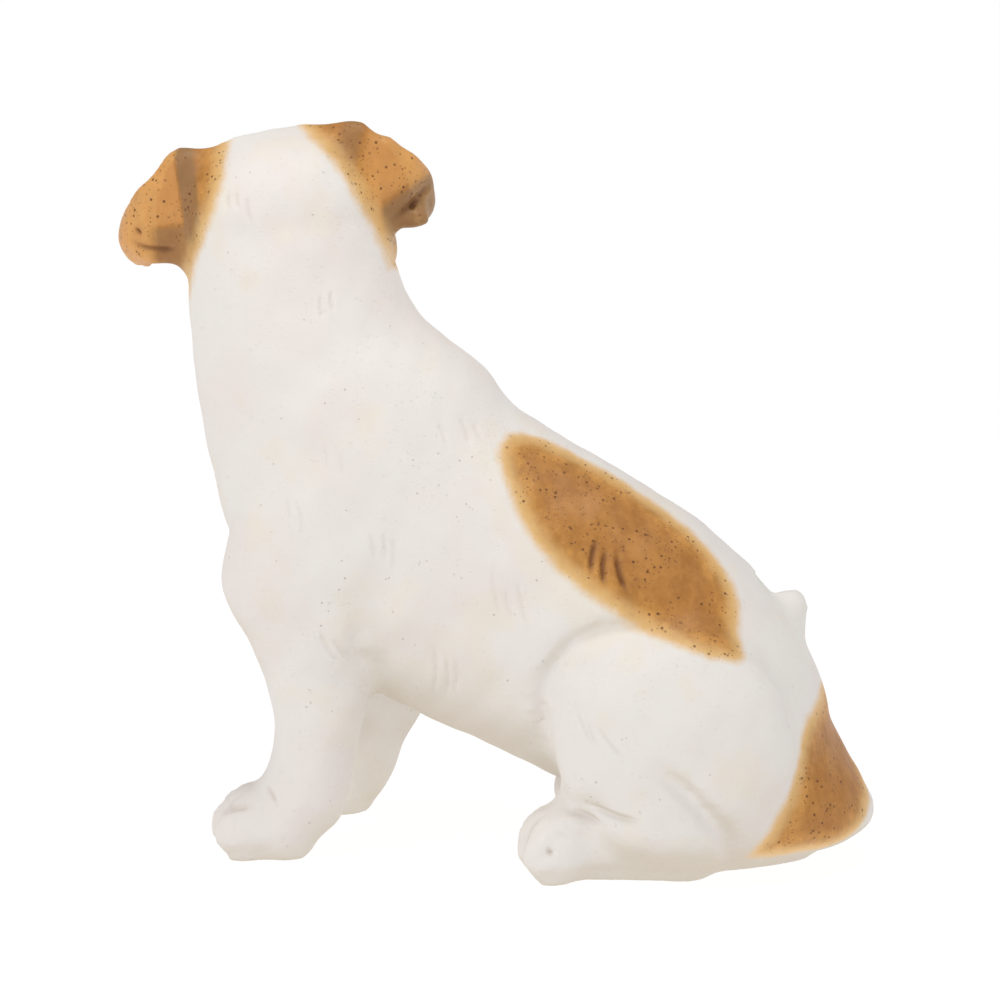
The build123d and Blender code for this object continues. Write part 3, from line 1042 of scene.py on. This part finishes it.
def ball(radii, rings):
    """Points and faces of a UV sphere, poles on y."""
    points = [(0.0, -radii[1], 0.0)]
    for i in range(1, rings):
        polar = math.pi * i / rings
        for j in range(2 * rings):
            turn = math.pi * j / rings
            points.append((radii[0] * math.sin(polar) * math.cos(turn), -radii[1] * math.cos(polar),
                           radii[2] * math.sin(polar) * math.sin(turn)))
    points.append((0.0, radii[1], 0.0))
    count, last = 2 * rings, len(points) - 1
    faces = [[0, 1 + j, 1 + (j + 1) % count] for j in range(count)]
    for i in range(rings - 2):
        for j in range(count):
            a, b = 1 + i * count + j, 1 + i * count + (j + 1) % count
            faces.append([a, a + count, b + count, b])
    start = 1 + (rings - 2) * count
    faces += [[last, start + (j + 1) % count, start + j] for j in range(count)]
    return np.array(points), faces


def set_in_head(name, points, faces, centre, turn=None):
    """A small piece in the head's frame, as an object."""
    axes = np.eye(3) if turn is None else turn
    placed = HEAD.world(points @ axes.T + centre)
    return smooth_object(name, new_mesh(name, (placed + DOG_ORIGIN) * MM, faces))


def make_eye(side, name):
    """A glass-smooth ball with a slight cornea; `iris` is the distance from its axis."""
    points, faces = ball((EYEBALL_RADIUS,) * 3, EYEBALL_RINGS)
    from_axis = np.hypot(points[:, 0], points[:, 2])
    front = points[:, 1] < 0
    points[:, 1] -= CORNEA * (1.0 - ramp(from_axis, 0.9, 2.1)) * front
    eye = EYE_PLACE * (side, 1, 1)
    piece = set_in_head(name, points, faces, eye, turned("z", EYE_TURN * side))
    store(piece.data, "iris", np.where(front, from_axis, BEHIND_IRIS))
    return piece


def make_nose():
    """The nose leather: a rounded shield with two comma-shaped nostrils and a groove."""
    points, faces = ball(NOSE_RADII, NOSE_RINGS)
    x, y, z = points.T
    width = 1.0 + 0.10 * z / NOSE_RADII[2] - 0.10 * ramp(-z, 0.5, 3.0)
    x = x * width
    press = np.zeros(len(x))
    for _, side in SIDES:
        hole = np.hypot((x - side * 1.75) / 0.85, (z + 0.25) / 0.62)
        press = np.maximum(press, 1.3 * (1.0 - ramp(hole, 0.55, 1.25)))
        path = rounded([(side * 1.9, -0.3), (side * 2.7, -0.2), (side * 3.3, 0.7)])
        slit, _ = path_distance(np.column_stack((x, z)), path)
        press = np.maximum(press, 0.6 * np.exp(-(slit / 0.38) ** 2))
    press = np.maximum(press, 0.35 * np.exp(-(x / 0.35) ** 2) * ramp(-z, -0.4, 0.6))
    front = ramp(-y, 0.2, 1.0)
    points = np.column_stack((x, y + press * front, z))
    return set_in_head("nose_leather", points, faces, NOSE_PLACE + (0.0, -0.5, 0.1))


# ---------------------------------------------------------------- materials
def srgb(code):
    """A colour as linear RGBA from its hexadecimal name."""
    parts = [int(code[i:i + 2], 16) / 255 for i in (0, 2, 4)]
    return tuple(p / 12.92 if p <= 0.04045 else ((p + 0.055) / 1.055) ** 2.4 for p in parts) + (1.0,)


class Nodes:
    """Short names for building a material's node tree."""

    def __init__(self, name):
        self.material = bpy.data.materials.new(name)
        self.material.use_nodes = True
        self.tree = self.material.node_tree
        self.shader = self.tree.nodes["Principled BSDF"]

    def feed(self, socket, value):
        """Links or sets an input; a text is the hexadecimal name of a colour."""
        if isinstance(value, bpy.types.NodeSocket):
            self.tree.links.new(value, socket)
        else:
            socket.default_value = srgb(value) if isinstance(value, str) else value

    def add(self, kind, inputs, **settings):
        node = self.tree.nodes.new("ShaderNode" + kind)
        for key, value in settings.items():
            setattr(node, key, value)
        for key, value in inputs.items():
            self.feed(node.inputs[key], value)
        return node

    def value(self, name):
        return self.add("Attribute", {}, attribute_name=name).outputs["Fac"]

    def millimetres(self):
        coordinates = self.add("TexCoord", {}).outputs["Object"]
        return self.add("VectorMath", {0: coordinates, "Scale": 1.0 / MM}, operation="SCALE").outputs[0]

    def math(self, operation, a, b=0.0, c=0.0):
        return self.add("Math", {0: a, 1: b, 2: c}, operation=operation).outputs[0]

    def plus(self, a, b):
        return self.math("ADD", a, b)

    def times(self, a, b):
        return self.math("MULTIPLY", a, b)

    def scaled(self, value, factor, offset):
        return self.math("MULTIPLY_ADD", value, factor, offset)

    def step(self, value, low, high, start=0.0, end=1.0):
        node = self.add("MapRange", {"Value": value, "From Min": low, "From Max": high, "To Min": start,
                                     "To Max": end}, interpolation_type="SMOOTHSTEP")
        return node.outputs["Result"]

    def noise(self, vector, per_mm, detail=3.0, rough=0.55):
        node = self.add("TexNoise", {"Vector": vector, "Scale": per_mm, "Detail": detail,
                                     "Roughness": rough})
        return node.outputs["Fac"]

    def mix(self, factor, a, b, blend="MIX"):
        node = self.add("Mix", {}, data_type="RGBA", blend_type=blend)
        for socket, value in ((node.inputs[0], factor), (node.inputs[6], a), (node.inputs[7], b)):
            self.feed(socket, value)
        return node.outputs[2]

    def bump(self, height, distance, strength):
        node = self.add("Bump", {"Height": height, "Distance": distance, "Strength": strength})
        return node.outputs["Normal"]

    def finished(self, inputs):
        """The material, with its shader's inputs fed."""
        for name, value in inputs.items():
            self.feed(self.shader.inputs[name], value)
        return self.material

    def dots(self, vector, per_mm, size, share):
        """Round dots: about `share` of the cells have one; 1 in its middle."""
        cell = self.add("TexVoronoi", {"Vector": vector, "Scale": per_mm, "Randomness": 1.0})
        lot = self.add("SeparateColor", {0: cell.outputs["Color"]})
        dot = self.step(cell.outputs["Distance"], size * 0.55, size, 1.0, 0.0)
        size_lot = self.step(lot.outputs[1], 0.0, 1.0, 0.5, 1.0)
        chosen = self.math("GREATER_THAN", self.plus(lot.outputs[0], share), 1.0)
        return self.times(self.times(dot, chosen), size_lot)


def add_brown(nodes, mm, paint, stain):
    """The fired brown stain: honey at its edge, mottled and speckled inside."""
    tone = nodes.value("tone")
    cloud = nodes.noise(mm, 0.13, 4.0, 0.6)
    grain = nodes.noise(mm, 0.9, 4.0, 0.65)
    drawn_out = nodes.add("VectorMath", {0: mm, 1: (1.0, 1.0, 0.28)}, operation="MULTIPLY").outputs[0]
    streaks = nodes.noise(drawn_out, 0.32, 4.0, 0.6)
    mottle = nodes.plus(nodes.times(cloud, 0.35), nodes.times(grain, 0.25))
    mottle = nodes.scaled(streaks, 0.4, mottle)
    brown = nodes.mix(nodes.step(mottle, 0.38, 0.62), "AF7838", "D4984E")
    brown = nodes.mix(nodes.times(nodes.step(paint, 3.6, 6.0), 0.45), brown, "A4682E")
    brown = nodes.mix(nodes.times(tone, -0.8), brown, "94704A")
    brown = nodes.mix(nodes.times(tone, 0.8), brown, "E6A661")
    rim = nodes.step(nodes.plus(paint, nodes.times(grain, 1.2)), 1.2, 4.6, 1.0, 0.0)
    brown = nodes.mix(nodes.times(rim, 0.85), brown, "E6BC7E")
    gather = nodes.step(nodes.noise(mm, 0.13, 2.0), 0.42, 0.56)
    share = nodes.times(gather, 0.75)
    specks = nodes.dots(mm, 0.75, 0.28, nodes.plus(share, 0.03))
    fine = nodes.dots(mm, 1.3, 0.28, nodes.times(share, 0.8))
    speckled = nodes.math("MAXIMUM", specks, nodes.times(fine, 0.7))
    brown = nodes.mix(nodes.times(speckled, 0.9), brown, "6A3D1E")
    return nodes.mix(nodes.times(stain, 0.85), brown, "6B3E1A"), speckled


def add_white(nodes, mm, stain):
    """Unglazed white bisque with faint pink, cream and grey clouds, and painted shade: darker and warmer
    where faces point down.
    """
    white = nodes.mix(nodes.step(nodes.noise(mm, 0.045, 3.0), 0.40, 0.62), "EDE8E2", "ECE4DF")
    cream = nodes.step(nodes.noise(nodes.add("VectorMath", {0: mm, 1: (31.0, 7.0, 3.0)}).outputs[0],
                                   0.06, 3.0), 0.52, 0.70)
    white = nodes.mix(nodes.times(cream, 0.55), white, "EEE4D4")
    dust = nodes.step(nodes.noise(mm, 0.5, 5.0, 0.7), 0.55, 0.80)
    white = nodes.mix(nodes.times(dust, 0.22), white, "E2DAD0")
    share = nodes.times(nodes.value("pits"), 0.30)
    pits = nodes.dots(mm, 0.85, 0.19, share)
    white = nodes.mix(nodes.times(pits, 0.45), white, "BFAE98")
    # painted shade: the more a face points down, the darker and warmer its white, standing in for the
    # shade under the body
    white = nodes.mix(nodes.times(nodes.value("painted_underside_shade"), 0.8), white, "C6B8A2")
    return nodes.mix(nodes.times(stain, 0.45), white, "CDBFAF"), pits


def bisque_material():
    nodes = Nodes("painted_bisque")
    mm = nodes.millimetres()
    stain = nodes.value("stain")
    drift = nodes.scaled(nodes.noise(mm, 0.35, 3.0), 1.6, -0.8)
    fray = nodes.scaled(nodes.noise(mm, 1.6, 3.0, 0.7), 0.7, -0.35)
    paint = nodes.plus(nodes.value("paint"), nodes.plus(drift, fray))
    brown, specks = add_brown(nodes, mm, paint, stain)
    white, pits = add_white(nodes, mm, stain)
    cover = nodes.step(paint, -1.5, 1.0)
    wash = nodes.mix(nodes.step(paint, -0.9, 1.6), "E9C085", brown)
    rough = nodes.scaled(nodes.noise(mm, 0.8, 4.0), 0.16, 0.50)
    skin = nodes.times(nodes.noise(mm, 1.4, 5.0, 0.6), 0.05)
    tooled = nodes.times(nodes.noise(mm, 0.28, 3.0), 0.16)
    holes = nodes.times(nodes.math("MAXIMUM", pits, nodes.times(specks, 0.4)), -0.20)
    height = nodes.plus(nodes.plus(skin, tooled), holes)
    return nodes.finished({"Base Color": nodes.mix(cover, white, wash),
                           "Roughness": nodes.scaled(cover, -0.10, rough),
                           "Specular IOR Level": 0.35, "Normal": nodes.bump(height, MM, 0.8)})


def eye_material():
    nodes = Nodes("eye_glaze")
    mm = nodes.millimetres()
    iris = nodes.value("iris")
    streaks = nodes.noise(mm, 2.4, 3.0)
    ring = nodes.mix(streaks, "3A200F", "1E100A")
    colour = nodes.mix(nodes.step(iris, 1.05, 1.25), "060505", ring)
    colour = nodes.mix(nodes.step(iris, 2.0, 2.4), colour, "0A0807")
    return nodes.finished({"Base Color": colour,
                           "Roughness": nodes.scaled(streaks, 0.06, 0.08),
                           "Coat Weight": 0.6, "Coat Roughness": 0.05})


def nose_material():
    nodes = Nodes("nose_glaze")
    mm = nodes.millimetres()
    worn = nodes.step(nodes.noise(mm, 0.9, 4.0), 0.45, 0.75)
    colour = nodes.mix(worn, "17110F", "33251F")
    cells = nodes.add("TexVoronoi", {"Vector": mm, "Scale": 2.6}).outputs["Distance"]
    return nodes.finished({"Base Color": colour,
                           "Roughness": nodes.scaled(worn, 0.15, 0.28),
                           "Normal": nodes.bump(cells, 0.08 * MM, 0.6)})


# ---------------------------------------------------------------- floor, light and camera
CAMERA_TARGET = (0.0, 0.0, 70.5)    # the dog's millimetres
CAMERA_AZIMUTH = 101.0              # degrees round from looking along +y
CAMERA_ELEVATION = 11.0
CAMERA_DISTANCE = 720.0
CAMERA_LENS = 129.6
SENSOR_WIDTH = 36.0


def aim(thing, azimuth, elevation, distance):
    """Places a camera or lamp round the target, at a distance in millimetres, facing it."""
    a, e = math.radians(azimuth), math.radians(elevation)
    back = np.array((math.sin(a) * math.cos(e), -math.cos(a) * math.cos(e), math.sin(e)))
    goal = np.array(CAMERA_TARGET) + DOG_ORIGIN
    thing.location = ((goal + back * distance) * MM).tolist()
    direction = type(thing.location)(goal * MM) - thing.location
    thing.rotation_euler = direction.to_track_quat("-Z", "Y").to_euler()


def add_camera():
    data = bpy.data.cameras.new("camera")
    data.lens = CAMERA_LENS
    data.sensor_width = SENSOR_WIDTH
    camera = new_object("camera", data)
    aim(camera, CAMERA_AZIMUTH, CAMERA_ELEVATION, CAMERA_DISTANCE)
    bpy.context.scene.camera = camera


def add_lamp(name, azimuth, elevation, distance, size, power):
    data = bpy.data.lights.new(name, "AREA")
    data.shape = "DISK"
    data.size = size * MM
    data.energy = power
    aim(new_object(name, data), azimuth, elevation, distance)


FLOOR_REACH = 4.0           # metres
FLOOR_GLOW = 0.93


def add_floor():
    corners = [(x * FLOOR_REACH, y * FLOOR_REACH, 0) for x, y in ((-1, -1), (1, -1), (1, 1), (-1, 1))]
    mesh = new_mesh("floor", corners, [[0, 1, 2, 3]])
    nodes = Nodes("floor_white")
    mm = nodes.millimetres()
    tint = nodes.mix(nodes.noise(mm, 0.01, 2.0), "646464", "5E5E5E")
    mesh.materials.append(nodes.finished({
        "Base Color": tint, "Roughness": 0.9, "Specular IOR Level": 0.1,
        "Emission Color": "FFFFFF", "Emission Strength": FLOOR_GLOW}))
    new_object("floor", mesh)


HORIZON_LIGHT = 1.0         # strengths of the sky, and the heights between which it changes
SKY_LIGHT = 0.38
SKY_RAMP = (0.10, 0.30)


def add_world():
    world = bpy.data.worlds.new("studio")
    world.use_nodes = True
    tree = world.node_tree
    direction = tree.nodes.new("ShaderNodeSeparateXYZ")
    tree.links.new(tree.nodes.new("ShaderNodeTexCoord").outputs["Generated"], direction.inputs[0])
    height = tree.nodes.new("ShaderNodeMapRange")
    for socket, value in zip(height.inputs[1:5], (*SKY_RAMP, HORIZON_LIGHT, SKY_LIGHT)):
        socket.default_value = value
    tree.links.new(direction.outputs["Z"], height.inputs[0])
    tree.links.new(height.outputs[0], tree.nodes["Background"].inputs["Strength"])
    tree.nodes["Background"].inputs["Color"].default_value = srgb("FFFFFF")
    scene = bpy.context.scene
    scene.world = world
    scene.view_settings.view_transform = "Standard"
    scene.view_settings.look = "None"


def build_stage():
    add_camera()
    add_floor()
    add_world()
    add_lamp("key", 55.0, 45.0, 900.0, 450.0, 1.9)
    add_lamp("top", 150.0, 80.0, 900.0, 450.0, 3.0)


# ---------------------------------------------------------------- assembly
def build_dog():
    clay = Clay()
    sculpt(clay)
    mesh, stain = make_skin(clay)
    paint_skin(mesh, clay, stain)
    owners = tidy_owners(mesh, face_owners(mesh, clay))
    bisque = bisque_material()
    for index, node in enumerate(SKIN_NODES):
        piece = split_piece(mesh, owners, index, node + "_bisque")
        mount(piece, node, bisque)
    bpy.data.meshes.remove(mesh)
    eye_glaze = eye_material()
    for name, side in SIDES:
        mount(make_eye(side, name + "_eyeball"), name + "_eye", eye_glaze)
    mount(make_nose(), "nose", nose_material())


build_stage()
build_dog()
